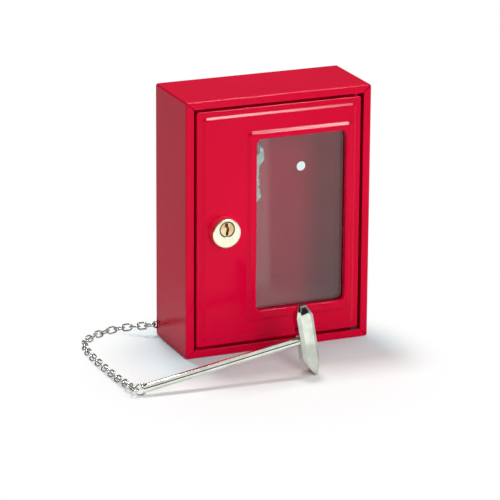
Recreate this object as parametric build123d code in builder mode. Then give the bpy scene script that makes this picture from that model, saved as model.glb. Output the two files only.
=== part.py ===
from build123d import *

import os
from math import asin, atan, atan2, cos, hypot, pi, radians, sin, sqrt, tan

os.makedirs("parts", exist_ok=True)

# Break glass key box: a small wall cabinet of folded sheet steel with a glazed, locked door.
# A striking hammer hangs on a chain beside it. Pieces are modelled in millimetres.
# X runs to the right as seen from the front, Y runs to the wall behind, Z runs up.
# The origin is the middle of the case's underside.

# ---------------------------------------------------------------- case
case_width = 120.0
case_height = 160.0
case_depth = 50.0
sheet = 1.0  # thickness of the folded steel of case and door
bend_radius = 1.2  # outside radius of the folds
case_corner_radius = 1.6  # welded corners between neighbouring walls
flange_width = 5.0  # front flange that frames the door
mitre_gap = 0.3
wall_hole_radius = 3.0
wall_hole_spacing = 72.0
wall_hole_height = 98.0

# ---------------------------------------------------------------- door
door_gap = 1.7  # shadow gap between flange and door
door_return = 10.0  # depth of the folded door edge
door_corner_radius = 1.5
field_margin = 3.4  # plain border of the door round the first raised field
field_bevel = 1.8
field_height = 1.2
frame_bevel = 2.0  # second raised field, the frame round the window
frame_height = 1.6
frame_left = 5.8  # frame beside the window, bevel included
frame_right = 4.6
frame_top = 5.2
frame_bottom = 6.6
window_from_lock_edge = 37.8  # door's edge to the window, on the lock's side
window_from_hinge_edge = 10.6
window_from_top = 19.6
window_from_bottom = 19.6
window_radius = 3.4
window_collar = 3.0  # depth of the folded window edge
window_fold_radius = 0.7

# ---------------------------------------------------------------- glazing
glass_thickness = 2.0
glass_overlap = 2.0  # glass behind the collar on each side
glass_play = 0.3
rail_sheet = 1.0
rail_foot = 4.5
clip_width = 12.0
clip_foot = 8.0
stud_thread_radius = 1.5
stud_thread_length = 4.6
clip_nut_flats = 5.5
clip_nut_height = 2.4

# ---------------------------------------------------------------- hinge, stops, strike
hinge_inset = 2.7  # pin axis from the door's edge and from its face
pin_radius = 1.25
pin_clearance = 0.05
pin_head_radius = 1.6
pin_head_height = 1.2
pin_reach = 3.0  # pin length past the door's folded edge
bracket_sheet = 1.5
bracket_width = 12.0
bracket_leg = 14.0
washer_play = 0.1
washer_radius = 2.4
stop_width = 12.0
stop_leg = 9.0
stop_gap = 0.3
stop_inset = 16.0  # stop centre from the case's left side
strike_sheet = 1.2
strike_height = 20.0
strike_leg = 10.0
strike_catch = 4.5  # tab standing out from its leg
strike_gap = 0.5  # between strike and cam

# ---------------------------------------------------------------- cylinder lock
lock_shift = 0.4  # off the middle of the plain field beside the window, towards the window
lock_drop = 0.7  # below the door's middle
lock_face_radius = 9.0
lock_face_projection = 7.0  # in front of the door's raised field
lock_face_chamfer = 0.5
lock_body_radius = 8.0
lock_body_length = 16.0  # behind the raised field's face
lock_hole_clearance = 0.15
lock_nut_flats = 19.0
lock_nut_thickness = 3.0
plug_radius = 4.8
plug_clearance = 0.06
plug_offset = 2.6  # plug axis above the body's axis
plug_recess = 0.3
keyway_height = 7.6
keyway_width = 1.5
keyway_jog = 0.9
keyway_depth = 6.0
spindle_size = 5.0
cam_length = 21.0  # plug axis to cam tip
cam_width = 11.0
cam_thickness = 2.0
cam_play = 0.3
cam_screw_radius = 1.5
cam_screw_depth = 4.0
cam_screw_head_radius = 3.8
cam_screw_head_height = 1.8

# ---------------------------------------------------------------- key and hook
hook_shift = 1.5  # hook off the case's middle, towards the hinge
hook_height = 113.1  # axis of the hook's level part
hook_wire = 2.4
hook_level_length = 9.0
hook_bend = 2.6
hook_upstand = 3.4
hook_plate_width = 9.0
hook_plate_height = 22.0
hook_plate_sheet = 1.2
hook_rivet_spacing = 14.0
rivet_radius = 1.25
rivet_head_radius = 2.3
rivet_head_height = 0.9
key_thickness = 2.0
key_stand_off = 5.5  # middle of the key from the back wall
key_bow_width = 14.8
key_bow_height = 14.4
key_bow_chamfer = 3.6
key_slot_width = 9.6
key_slot_height = 3.4
key_slot_rim = 2.5  # bow above its slot
key_hang = 0.9  # hook off the middle of the slot, towards the hinge
key_slot_play = 0.08
key_blade_width = 7.4
key_blade_length = 22.0
key_cut_depth = 1.0
key_cut_width = 2.2
key_cut_count = 5
key_tip = 2.4

# ---------------------------------------------------------------- chain and hammer
link_wire = 1.2
link_pitch_target = 5.05  # from joint to joint
link_width = 2.8  # inside
link_slack = 0.2
wire_flat_count = 6
end_link_length = 8.8  # inside, the longer link through the case
chain_height = 7.5  # chain axis where it leaves the case
chain_back_gap = 0.25  # between the end link and the back wall
chain_stand_out = 2.0  # first joint of the chain outside the case
chain_lean = 45.0  # roll of the links that lie on the ground
chain_lean_links = 5  # links that roll over between level and leaning
stud_radius = 1.1
stud_head_radius = 2.7
stud_head_height = 1.2
stud_play = 0.15
chain_runs = 3  # lengths of chain that swing as one
ring_radius = 3.5  # centreline of the ring in the hammer's handle
ring_flat_count = 16
hole_play = 0.12
handle_radius = 2.6
handle_chamfer = 0.4
handle_end = 3.0  # handle past the ring's hole
handle_length = 103.2  # ring's hole to the head's axis
handle_bury = 3.0  # handle inside the head, past its axis
head_length = 44.0
head_below = 22.0  # tip to handle axis
head_width = 10.4
head_chamfer = 2.0
head_face_width = 4.6
head_face_chamfer = 1.0
head_face_taper = 6.4
head_tip_width = 1.6
head_tip_offset = 1.1  # chisel edge off the head's axis, away from the handle
head_tip_taper = 9.5

# The chain's course from the case to the hammer: steps in X and Y from where it leaves the
# case, with the height above ground. It comes down behind the corner and lies in a bow.
link_bend = (link_width + link_wire) / 2  # wire centreline in a link's round end
link_corner = link_bend * (2 - sqrt(2))  # flats that turn a link's end in four equal bends
link_lie = link_bend * sin(radians(chain_lean)) + link_wire / 2
ring_stand = ring_radius + link_wire / 2
chain_course = [
    (0.0, 0.0, chain_height),
    (-6.4, 3.6, 6.2),
    (-12.5, 9.6, 4.3),
    (-19.5, 13.6, 2.8),
    (-27.5, 12.7, link_lie),
    (-36.0, 8.6, link_lie),
    (-43.5, 1.5, link_lie),
    (-48.0, -7.5, link_lie),
    (-50.2, -22.0, link_lie),
    (-50.6, -38.0, link_lie),
    (-50.2, -54.0, link_lie),
    (-49.6, -70.0, link_lie),
    (-48.8, -82.0, 2.8),
    (-48.7, -90.0, 3.5),
    (-49.2, -97.0, ring_stand),
]

# ---------------------------------------------------------------- derived places
left = -case_width / 2
front = -case_depth / 2
back = case_depth / 2
inner_back = back - sheet
inner_front = front + sheet

door_width = case_width - 2 * (flange_width + door_gap)
door_height = case_height - 2 * (flange_width + door_gap)
door_bottom = flange_width + door_gap
door_middle = case_height / 2
door_rear = front + door_return
door_skin = front + sheet

field_width = door_width - 2 * field_margin
field_tall = door_height - 2 * field_margin
field_face = front - field_height
frame_face = field_face - frame_height
window_width = door_width - window_from_lock_edge - window_from_hinge_edge
window_height = door_height - window_from_top - window_from_bottom
window_x = (window_from_lock_edge - window_from_hinge_edge) / 2
window_z = door_middle + (window_from_bottom - window_from_top) / 2
frame_x = window_x + (frame_right - frame_left) / 2
frame_z = window_z + (frame_top - frame_bottom) / 2
frame_width = window_width + frame_left + frame_right
frame_tall = window_height + frame_top + frame_bottom

collar_rear = frame_face + window_collar
glass_front = collar_rear
glass_rear = glass_front + glass_thickness
glass_width = window_width + 2 * (sheet + glass_overlap)
glass_height = window_height + 2 * (sheet + glass_overlap)
rail_front = glass_rear
field_inner = field_face + sheet

hinge_x = door_width / 2 - hinge_inset
hinge_y = front + hinge_inset

lock_x = (frame_x - frame_width / 2 - door_width / 2) / 2 + lock_shift
lock_height = door_middle - lock_drop
plug_z = lock_height + plug_offset
lock_front = field_face - lock_face_projection
lock_rear = field_face + lock_body_length
cam_front = lock_rear + cam_play
cam_rear = cam_front + cam_thickness

link_outer_width = link_width + 2 * link_wire
link_gap = link_wire + link_slack  # between the wire axes of two links that hold each other
chain_y = inner_back - chain_back_gap - link_wire / 2
chain_x = left - chain_stand_out
end_link_x = chain_x + end_link_length / 2
stud_x = end_link_x + end_link_length / 2 - stud_radius


def upright(y):
    """Sketch plane that faces the front at depth y: its x is X and its y is Z."""
    return Plane.XZ.offset(-y)


# ================================================================ case
case_center = (0, case_height / 2)
with BuildPart() as case_shell:
    with BuildSketch(upright(back)):
        with Locations(case_center):
            RectangleRounded(case_width, case_height, case_corner_radius)
    extrude(amount=case_depth)
    rims = case_shell.faces().filter_by(Axis.Y).edges()
    fillet(rims, bend_radius)
    with BuildSketch(upright(inner_back)):
        with Locations(case_center):
            Rectangle(case_width - 2 * sheet, case_height - 2 * sheet)
    extrude(amount=case_depth - 2 * sheet, mode=Mode.SUBTRACT)
    with BuildSketch(upright(inner_front)):
        with Locations(case_center):
            Rectangle(case_width - 2 * flange_width, case_height - 2 * flange_width)
    extrude(amount=sheet, mode=Mode.SUBTRACT)
    # open mitres where neighbouring flanges meet
    mitre_start = flange_width + mitre_gap
    mitre_length = (mitre_start - bend_radius) * sqrt(2)
    mitre_inset = (mitre_start + bend_radius) / 2
    mitres = [
        (side_x * (case_width / 2 - mitre_inset),
         case_height / 2 + side_z * (case_height / 2 - mitre_inset), 45 * side_x * side_z)
        for side_x in (-1, 1) for side_z in (-1, 1)
    ]
    with BuildSketch(upright(inner_front)):
        for mitre_x, mitre_z, slope in mitres:
            with Locations((mitre_x, mitre_z)):
                Rectangle(mitre_length, mitre_gap, rotation=slope)
    extrude(amount=sheet, mode=Mode.SUBTRACT)
    # screw holes to the wall
    with BuildSketch(upright(back)):
        with Locations((0, wall_hole_height)):
            with GridLocations(wall_hole_spacing, 1, 2, 1):
                Circle(wall_hole_radius)
    extrude(amount=sheet, mode=Mode.SUBTRACT)
    # slot for the chain, at the back edge of the left wall
    slot_depth = chain_back_gap + link_wire + 2 * link_slack
    slot_height = link_outer_width + 4 * link_slack
    with BuildSketch(Plane.YZ.offset(left)):
        with Locations((inner_back - slot_depth / 2, chain_height)):
            Rectangle(slot_depth, slot_height)
    extrude(amount=sheet, mode=Mode.SUBTRACT)
    # stud hole, closed by the stud that is pressed into it
    with BuildSketch(upright(back)):
        with Locations((stud_x, chain_height)):
            Circle(stud_radius)
    extrude(amount=sheet, mode=Mode.SUBTRACT)
    # rivet holes of the key hook
    with BuildSketch(upright(back)):
        with Locations((hook_shift, hook_height)):
            with GridLocations(1, hook_rivet_spacing, 1, 2):
                Circle(rivet_radius)
    extrude(amount=sheet, mode=Mode.SUBTRACT)

# ================================================================ hinge brackets and pins
wall_inner = case_width / 2 - sheet
ear_left = hinge_x - bracket_width / 2 + 1.5 * pin_radius
ear_depth = 2 * (hinge_y - inner_front) + 2 * pin_radius

with BuildPart() as hinge_bracket_bottom:
    with BuildSketch(Plane.XY.offset(flange_width - bracket_sheet)):
        with Locations((ear_left, inner_front)):
            Rectangle(wall_inner - ear_left, ear_depth, align=(Align.MIN, Align.MIN))
        with Locations((hinge_x, hinge_y)):
            Circle(pin_radius, mode=Mode.SUBTRACT)
    extrude(amount=bracket_sheet)
    free_corners = hinge_bracket_bottom.edges().filter_by(Axis.Z).group_by(Axis.X)[0]
    fillet(free_corners, pin_radius)
    with BuildSketch(Plane.YZ.offset(wall_inner)):
        with Locations((inner_front, flange_width - bracket_sheet)):
            Rectangle(ear_depth, bracket_leg, align=(Align.MIN, Align.MIN))
    extrude(amount=-bracket_sheet)

with BuildPart() as hinge_pin_bottom:
    with BuildSketch(Plane.XY.offset(flange_width - bracket_sheet - pin_head_height)):
        with Locations((hinge_x, hinge_y)):
            Circle(pin_head_radius)
    extrude(amount=pin_head_height)
    with BuildSketch(Plane.XY.offset(flange_width - bracket_sheet)):
        with Locations((hinge_x, hinge_y)):
            Circle(pin_radius)
    extrude(amount=bracket_sheet + door_gap + sheet + pin_reach)
    chamfer(hinge_pin_bottom.edges().sort_by(Axis.Z)[-1], pin_radius / 3)

mid_plane = Plane.XY.offset(case_height / 2)
with BuildPart() as hinge_bracket_top:
    add(hinge_bracket_bottom.part)
    mirror(about=mid_plane, mode=Mode.REPLACE)
with BuildPart() as hinge_pin_top:
    add(hinge_pin_bottom.part)
    mirror(about=mid_plane, mode=Mode.REPLACE)

with BuildPart() as hinge_washer:
    with BuildSketch(Plane.XY.offset(flange_width)):
        with Locations((hinge_x, hinge_y)):
            Circle(washer_radius)
            Circle(pin_radius + pin_clearance, mode=Mode.SUBTRACT)
    extrude(amount=door_gap - washer_play)

# ================================================================ stops and strike
with BuildPart() as stop_tabs:
    stop_x = left + stop_inset
    with BuildSketch(Plane.YZ.offset(stop_x - stop_width / 2)):
        with BuildLine():
            stop_front = door_rear + stop_gap
            Polyline(
                (stop_front, sheet),
                (stop_front, sheet + stop_leg),
                (stop_front + bracket_sheet, sheet + stop_leg),
                (stop_front + bracket_sheet, sheet + bracket_sheet),
                (stop_front + stop_leg, sheet + bracket_sheet),
                (stop_front + stop_leg, sheet),
                close=True,
            )
        make_face()
    extrude(amount=stop_width)
    mirror(about=mid_plane)

with BuildPart() as strike_bracket:
    strike_rear = cam_front - strike_gap
    wall_left = left + sheet
    with BuildSketch(Plane.XY.offset(plug_z - strike_height / 2)):
        with BuildLine():
            Polyline(
                (wall_left, strike_rear - strike_leg),
                (wall_left, strike_rear),
                (wall_left + strike_sheet + strike_catch, strike_rear),
                (wall_left + strike_sheet + strike_catch, strike_rear - strike_sheet),
                (wall_left + strike_sheet, strike_rear - strike_sheet),
                (wall_left + strike_sheet, strike_rear - strike_leg),
                close=True,
            )
        make_face()
    extrude(amount=strike_height)

# ================================================================ door
door_center = (0, door_middle)
window_center = (window_x, window_z)
frame_center = (frame_x, frame_z)
field_bend = sheet * tan(atan(field_height / field_bevel) / 2)
frame_bend = sheet * tan(atan(frame_height / frame_bevel) / 2)


with BuildPart() as door_panel:
    with BuildSketch(upright(door_rear)):
        with Locations(door_center):
            RectangleRounded(door_width, door_height, door_corner_radius)
    extrude(amount=door_return)
    door_rim = door_panel.faces().sort_by(Axis.Y)[0].edges()
    fillet(door_rim, bend_radius)
    with BuildSketch(upright(door_rear)):
        with Locations(door_center):
            Rectangle(door_width - 2 * sheet, door_height - 2 * sheet)
    extrude(amount=door_return - sheet, mode=Mode.SUBTRACT)
    # two raised fields with bevelled sides, and the hollows behind them
    for center, width, tall, bevel, base, height, mode in (
        (door_center, field_width, field_tall, field_bevel, front, field_height, Mode.ADD),
        (frame_center, frame_width, frame_tall, frame_bevel, field_face, frame_height, Mode.ADD),
        (door_center, field_width - 2 * field_bend, field_tall - 2 * field_bend,
         field_bevel, door_skin, field_height, Mode.SUBTRACT),
        (frame_center, frame_width - 2 * frame_bend, frame_tall - 2 * frame_bend,
         frame_bevel, field_inner, frame_height, Mode.SUBTRACT),
    ):
        with BuildSketch(upright(base)):
            with Locations(center):
                Rectangle(width, tall)
        with BuildSketch(upright(base - height)):
            with Locations(center):
                Rectangle(width - 2 * bevel, tall - 2 * bevel)
        loft(ruled=True, mode=mode)
    # the window's edge is folded inwards as a collar
    with BuildSketch(upright(collar_rear)):
        with Locations(window_center):
            RectangleRounded(window_width + 2 * sheet, window_height + 2 * sheet, window_radius + sheet)
    extrude(amount=window_collar)
    with BuildSketch(upright(collar_rear)):
        with Locations(window_center):
            RectangleRounded(window_width, window_height, window_radius)
    extrude(amount=window_collar, mode=Mode.SUBTRACT)
    face_edges = door_panel.faces().filter_by(Axis.Y).sort_by(Axis.Y)[0].inner_wires()[0].edges()
    fillet(face_edges, window_fold_radius)
    # hole for the lock
    with BuildSketch(upright(field_inner)):
        with Locations((lock_x, lock_height)):
            Circle(lock_body_radius + lock_hole_clearance)
    extrude(amount=sheet, mode=Mode.SUBTRACT)
    # pivot holes in the folded top and bottom edges
    with BuildSketch(Plane.XY.offset(door_bottom)):
        with Locations((hinge_x, hinge_y)):
            Circle(pin_radius + pin_clearance)
    extrude(amount=door_height, mode=Mode.SUBTRACT)

# ================================================================ glazing
with BuildPart() as glass_pane:
    with BuildSketch(upright(glass_rear)):
        with Locations(window_center):
            Rectangle(glass_width, glass_height)
    extrude(amount=glass_thickness)
    chamfer(glass_pane.edges(), glass_thickness / 10)

glass_left = window_x - glass_width / 2
glass_right = window_x + glass_width / 2
glass_bottom = window_z - glass_height / 2
glass_top = window_z + glass_height / 2
lip_reach = glass_overlap + glass_play + sheet / 2

with BuildPart() as glass_rail_left:
    rail_web = glass_left - glass_play
    with BuildSketch(Plane.XY.offset(glass_bottom)):
        with BuildLine():
            Polyline(
                (rail_web - rail_sheet - rail_foot, field_inner),
                (rail_web, field_inner),
                (rail_web, rail_front),
                (rail_web + lip_reach, rail_front),
                (rail_web + lip_reach, rail_front + rail_sheet),
                (rail_web - rail_sheet, rail_front + rail_sheet),
                (rail_web - rail_sheet, field_inner + rail_sheet),
                (rail_web - rail_sheet - rail_foot, field_inner + rail_sheet),
                close=True,
            )
        make_face()
    extrude(amount=glass_height)

with BuildPart() as glass_rail_right:
    door_edge = door_width / 2 - sheet
    with BuildSketch(Plane.XY.offset(glass_bottom)):
        with BuildLine():
            Polyline(
                (door_edge, rail_front),
                (glass_right - lip_reach, rail_front),
                (glass_right - lip_reach, rail_front + rail_sheet),
                (door_edge - rail_sheet, rail_front + rail_sheet),
                (door_edge - rail_sheet, rail_front + rail_foot),
                (door_edge, rail_front + rail_foot),
                close=True,
            )
        make_face()
    extrude(amount=glass_height)

with BuildPart() as glass_rail_bottom:
    sill = glass_bottom - glass_play
    with BuildSketch(Plane.YZ.offset(window_x - window_width / 2)):
        with BuildLine():
            Polyline(
                (field_inner, sill - rail_sheet - rail_foot),
                (field_inner, sill),
                (rail_front, sill),
                (rail_front, sill + lip_reach),
                (rail_front + rail_sheet, sill + lip_reach),
                (rail_front + rail_sheet, sill - rail_sheet),
                (field_inner + rail_sheet, sill - rail_sheet),
                (field_inner + rail_sheet, sill - rail_sheet - rail_foot),
                close=True,
            )
        make_face()
    extrude(amount=window_width)

clip_base = frame_z + frame_tall / 2 + glass_play
stud_z = clip_base + clip_foot / 2
with BuildPart() as glass_clip:
    with BuildSketch(Plane.YZ.offset(window_x - clip_width / 2)):
        with BuildLine():
            Polyline(
                (field_inner, clip_base + clip_foot),
                (field_inner, clip_base),
                (rail_front, glass_top + glass_play),
                (rail_front, glass_top - lip_reach),
                (rail_front + rail_sheet, glass_top - lip_reach),
                (rail_front + rail_sheet, glass_top + glass_play + rail_sheet / 2),
                (field_inner + rail_sheet, clip_base + rail_sheet / 2),
                (field_inner + rail_sheet, clip_base + clip_foot),
                close=True,
            )
        make_face()
    extrude(amount=clip_width)
    with BuildSketch(upright(field_inner + rail_sheet)):
        with Locations((window_x, stud_z)):
            Circle(stud_thread_radius)
    extrude(amount=rail_sheet, mode=Mode.SUBTRACT)

with BuildPart() as clip_stud:
    with BuildSketch(upright(field_inner + stud_thread_length)):
        with Locations((window_x, stud_z)):
            Circle(stud_thread_radius)
    extrude(amount=stud_thread_length)

with BuildPart() as clip_nut:
    with BuildSketch(upright(field_inner + rail_sheet + clip_nut_height)):
        with Locations((window_x, stud_z)):
            RegularPolygon(clip_nut_flats / 2, 6, major_radius=False)
            Circle(stud_thread_radius, mode=Mode.SUBTRACT)
    extrude(amount=clip_nut_height)

# ================================================================ lock
with BuildPart() as lock_barrel:
    with BuildSketch(upright(field_face)):
        with Locations((lock_x, lock_height)):
            Circle(lock_face_radius)
    extrude(amount=lock_face_projection)
    chamfer(lock_barrel.edges().sort_by(Axis.Y)[0], lock_face_chamfer)
    with BuildSketch(upright(lock_rear)):
        with Locations((lock_x, lock_height)):
            Circle(lock_body_radius)
    extrude(amount=lock_body_length)
    with BuildSketch(upright(lock_rear)):
        with Locations((lock_x, plug_z)):
            Circle(plug_radius + plug_clearance)
    extrude(amount=lock_body_length + lock_face_projection, mode=Mode.SUBTRACT)

with BuildPart() as lock_nut:
    with BuildSketch(upright(field_inner + lock_nut_thickness)):
        with Locations((lock_x, lock_height)):
            RegularPolygon(lock_nut_flats / 2, 6, major_radius=False, rotation=30)
            Circle(lock_body_radius, mode=Mode.SUBTRACT)
    extrude(amount=lock_nut_thickness)

plug_front = lock_front + plug_recess
with BuildPart() as lock_plug:
    with BuildSketch(upright(cam_front)):
        with Locations((lock_x, plug_z)):
            Circle(plug_radius)
    extrude(amount=cam_front - plug_front)
    # keyway, a slot that jogs from side to side
    third = keyway_height / 3
    with BuildSketch(upright(plug_front)):
        with Locations((lock_x, plug_z)):
            with Locations((-keyway_jog / 2, third)):
                Rectangle(keyway_width + keyway_jog / 2, third)
            with Locations((keyway_jog / 2, 0)):
                Rectangle(keyway_width, third)
            with Locations((0, -third)):
                Rectangle(keyway_width, third)
    extrude(amount=-keyway_depth, mode=Mode.SUBTRACT)
    with BuildSketch(upright(cam_rear)):
        with Locations((lock_x, plug_z)):
            Rectangle(spindle_size, spindle_size)
    extrude(amount=cam_thickness)
    with BuildSketch(upright(cam_rear)):
        with Locations((lock_x, plug_z)):
            Circle(cam_screw_radius)
    extrude(amount=cam_screw_depth, mode=Mode.SUBTRACT)

with BuildPart() as lock_cam:
    with BuildSketch(upright(cam_rear)):
        with Locations((lock_x, plug_z)):
            Circle(cam_width / 2)
        with Locations((lock_x, plug_z - cam_length / 2)):
            Rectangle(cam_width, cam_length)
        with Locations((lock_x, plug_z)):
            Rectangle(spindle_size, spindle_size, mode=Mode.SUBTRACT)
    extrude(amount=cam_thickness)
    cam_tip = lock_cam.edges().filter_by(Axis.Y).group_by(Axis.Z)[0]
    fillet(cam_tip, cam_width / 4)

with BuildPart() as cam_screw:
    with BuildSketch(upright(cam_rear)):
        with Locations((lock_x, plug_z)):
            Circle(cam_screw_radius)
    extrude(amount=cam_screw_depth)
    with BuildSketch(upright(cam_rear + cam_screw_head_height)):
        with Locations((lock_x, plug_z)):
            Circle(cam_screw_head_radius)
    extrude(amount=cam_screw_head_height)
    chamfer(cam_screw.edges().sort_by(Axis.Y)[-1], cam_screw_head_height / 3)

# ================================================================ key hook and key
with BuildPart() as key_hook:
    with BuildSketch(upright(inner_back)):
        with Locations((hook_shift, hook_height)):
            RectangleRounded(hook_plate_width, hook_plate_height, hook_plate_width / 4)
            with GridLocations(1, hook_rivet_spacing, 1, 2):
                Circle(rivet_radius, mode=Mode.SUBTRACT)
    extrude(amount=hook_plate_sheet)
    plate_face = inner_back - hook_plate_sheet
    hook_end = plate_face - hook_level_length
    with BuildLine(Plane.YZ.offset(hook_shift)) as hook_path:
        Polyline(
            (plate_face, hook_height), (hook_end, hook_height),
            (hook_end - hook_bend, hook_height + hook_bend),
            (hook_end - hook_bend, hook_height + hook_bend + hook_upstand),
        )
    with BuildSketch(upright(plate_face)):
        with Locations((hook_shift, hook_height)):
            RegularPolygon(hook_wire / 2, wire_flat_count, rotation=180 / wire_flat_count)
    sweep(path=hook_path.wires()[0], transition=Transition.RIGHT)

with BuildPart() as hook_rivets:
    with BuildSketch(upright(back)):
        with Locations((hook_shift, hook_height)):
            with GridLocations(1, hook_rivet_spacing, 1, 2):
                Circle(rivet_radius)
    extrude(amount=sheet + hook_plate_sheet)
    with BuildSketch(upright(plate_face)):
        with Locations((hook_shift, hook_height)):
            with GridLocations(1, hook_rivet_spacing, 1, 2):
                Circle(rivet_head_radius)
    extrude(amount=rivet_head_height)
    chamfer(hook_rivets.edges().group_by(Axis.Y)[0], rivet_head_height / 2)

# The key hangs by the slot in its bow. It is drawn upright round the hook's axis, then turned
# so that its centre of mass is under the hook.
bow_x = -key_hang
bow_top = hook_wire / 2 + key_slot_play + key_slot_rim
bow_bottom = bow_top - key_bow_height
blade_tip = bow_bottom - key_blade_length
slot_z = bow_top - key_slot_rim - key_slot_height / 2
bow_side = key_bow_width / 2
blade_side = key_blade_width / 2
cut_pitch = (key_blade_length - key_tip) / (key_cut_count + 1)
with BuildSketch() as key_outline:
    with BuildLine():
        Polyline(
            (bow_x - bow_side + key_bow_chamfer, bow_top),
            (bow_x + bow_side - key_bow_chamfer, bow_top),
            (bow_x + bow_side, bow_top - key_bow_chamfer),
            (bow_x + bow_side, bow_bottom + key_bow_chamfer),
            (bow_x + bow_side - key_bow_chamfer, bow_bottom),
            (bow_x + blade_side, bow_bottom),
            (bow_x + blade_side, blade_tip + key_tip),
            (bow_x + blade_side - key_tip, blade_tip),
            (bow_x - blade_side + key_tip, blade_tip),
            (bow_x - blade_side, blade_tip + key_tip),
            (bow_x - blade_side, bow_bottom),
            (bow_x - bow_side + key_bow_chamfer, bow_bottom),
            (bow_x - bow_side, bow_bottom + key_bow_chamfer),
            (bow_x - bow_side, bow_top - key_bow_chamfer),
            close=True,
        )
    make_face()
    with Locations((bow_x, slot_z)):
        SlotOverall(key_slot_width, key_slot_height, mode=Mode.SUBTRACT)
    # cuts of the bitting
    for cut in range(key_cut_count):
        with Locations((bow_x + blade_side, bow_bottom - (cut + 1) * cut_pitch)):
            Rectangle(key_cut_depth * (1 + cut % 2), key_cut_width, mode=Mode.SUBTRACT)
key_mass = key_outline.face().center(CenterOf.MASS)
key_tilt = atan2(-key_mass.X, -key_mass.Y)
key_plane = Plane(
    origin=(hook_shift, inner_back - key_stand_off + key_thickness / 2, hook_height),
    x_dir=(cos(key_tilt), 0, sin(key_tilt)),
    z_dir=(0, -1, 0),
)
with BuildPart() as emergency_key:
    with BuildSketch(key_plane):
        add(key_outline.sketch)
    extrude(amount=key_thickness)

# ================================================================ chain
# Every link is an oval of wire, closed round from the middle of a long side. Its ends are
# bent in flats, and the wire has flats of its own.
with BuildPart() as chain_end_link:
    half = (end_link_length + link_wire) / 2
    with BuildLine(upright(chain_y)) as oval:
        Polyline(
            [(end_link_x + along_x, chain_height + across) for along_x, across in (
                (0, -link_bend), (half - link_corner, -link_bend), (half, link_corner - link_bend),
                (half, link_bend - link_corner), (half - link_corner, link_bend),
                (link_corner - half, link_bend), (-half, link_bend - link_corner),
                (-half, link_corner - link_bend), (link_corner - half, -link_bend),
            )],
            close=True,
        )
    path = oval.wires()[0]
    with BuildSketch(Plane(origin=path @ 0, z_dir=path % 0)):
        RegularPolygon(link_wire / 2, wire_flat_count)
    sweep(path=path, transition=Transition.RIGHT)

with BuildPart() as chain_stud:
    stud_front = chain_y - link_wire / 2 - stud_play
    with BuildSketch(upright(back)):
        with Locations((stud_x, chain_height)):
            Circle(stud_radius)
    extrude(amount=back - stud_front)
    with BuildSketch(upright(stud_front)):
        with Locations((stud_x, chain_height)):
            Circle(stud_head_radius)
    extrude(amount=stud_head_height)
    chamfer(chain_stud.edges().group_by(Axis.Y)[0], stud_head_height / 2)

with BuildLine() as course:
    Spline([(chain_x + dx, chain_y + dy, z) for dx, dy, z in chain_course])
chain_line = course.wires()[0]
link_count = round(chain_line.length / link_pitch_target)
link_length = chain_line.length / link_count + link_slack
# The links cross their neighbours at right angles. They start level, lean over on the ground
# and end level again, where the ring goes through the last one.
rolls = []
for link in range(link_count):
    from_start = min(link / chain_lean_links, 1)
    from_end = min((link_count - 1 - link) / chain_lean_links, 1)
    lean = radians(chain_lean)
    lean_end = pi / 2 * ((link_count - 1) % 2)
    rolls.append(lean * from_start + (lean_end - lean) * (1 - from_end) + pi / 2 * (link % 2))
stands = [link_bend * abs(sin(roll)) + link_wire / 2 for roll in rolls]
joints = []
for joint in range(link_count + 1):
    place = chain_line @ (joint / link_count)
    lift = max(stands[max(joint - 1, 0)], stands[min(joint, link_count - 1)])
    joints.append(Vector(place.X, place.Y, max(place.Z, lift)))

half = (link_length + link_wire) / 2
for run in range(chain_runs):
    with BuildPart() as chain_run:
        for link in range(run * link_count // chain_runs, (run + 1) * link_count // chain_runs):
            along = (joints[link + 1] - joints[link]).normalized()
            level = Vector(-along.Y, along.X, 0).normalized()
            wide = level * cos(rolls[link]) + along.cross(level) * sin(rolls[link])
            middle = (joints[link] + joints[link + 1]) / 2
            with BuildLine(Plane(origin=middle, x_dir=along, z_dir=along.cross(wide))) as oval:
                Polyline(
                    (0, -link_bend), (half - link_corner, -link_bend), (half, link_corner - link_bend),
                    (half, link_bend - link_corner), (half - link_corner, link_bend),
                    (link_corner - half, link_bend), (-half, link_bend - link_corner),
                    (-half, link_corner - link_bend), (link_corner - half, -link_bend),
                    close=True,
                )
            path = oval.wires()[0]
            with BuildSketch(Plane(origin=path @ 0, z_dir=path % 0)):
                RegularPolygon(link_wire / 2, wire_flat_count)
            sweep(path=path, transition=Transition.RIGHT)
    chain_run.part.label = f"chain_run_{run + 1}"
    export_step(chain_run.part, f"parts/chain_run_{run + 1}.step")

# ================================================================ hammer
# The ring stands on the ground in the last link. The handle runs out of it and the head stands
# on its chisel edge, so the handle rises towards the head.
ring_hold = joints[-1] - (joints[-1] - joints[-2]).normalized() * link_gap / 2
ring_x = ring_hold.X + ring_radius
ring_y = ring_hold.Y
ring_step = 2 * pi / ring_flat_count
with BuildPart() as handle_ring:
    with BuildLine(Plane((ring_x, ring_y, ring_stand), x_dir=(1, 0, 0), z_dir=(0, 1, 0))) as ring_line:
        Polyline(
            (ring_radius * cos(ring_step / 2), 0),
            *[(ring_radius * cos(turn), ring_radius * sin(turn)) for turn in (
                ring_step * (corner + 0.5) for corner in range(ring_flat_count)
            )],
            close=True,
        )
    path = ring_line.wires()[0]
    with BuildSketch(Plane(origin=path @ 0, z_dir=path % 0)):
        RegularPolygon(link_wire / 2, wire_flat_count)
    sweep(path=path, transition=Transition.RIGHT)

reach = ring_radius + handle_length
contact = reach + head_tip_offset - head_tip_width / 2
rise = atan2(head_below, contact) - asin(ring_stand / hypot(contact, head_below))
along_handle = Vector(cos(rise), 0, sin(rise))
up_head = Vector(-sin(rise), 0, cos(rise))
ring_centre = Vector(ring_x, ring_y, ring_stand)
head_centre = ring_centre + along_handle * reach

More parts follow.
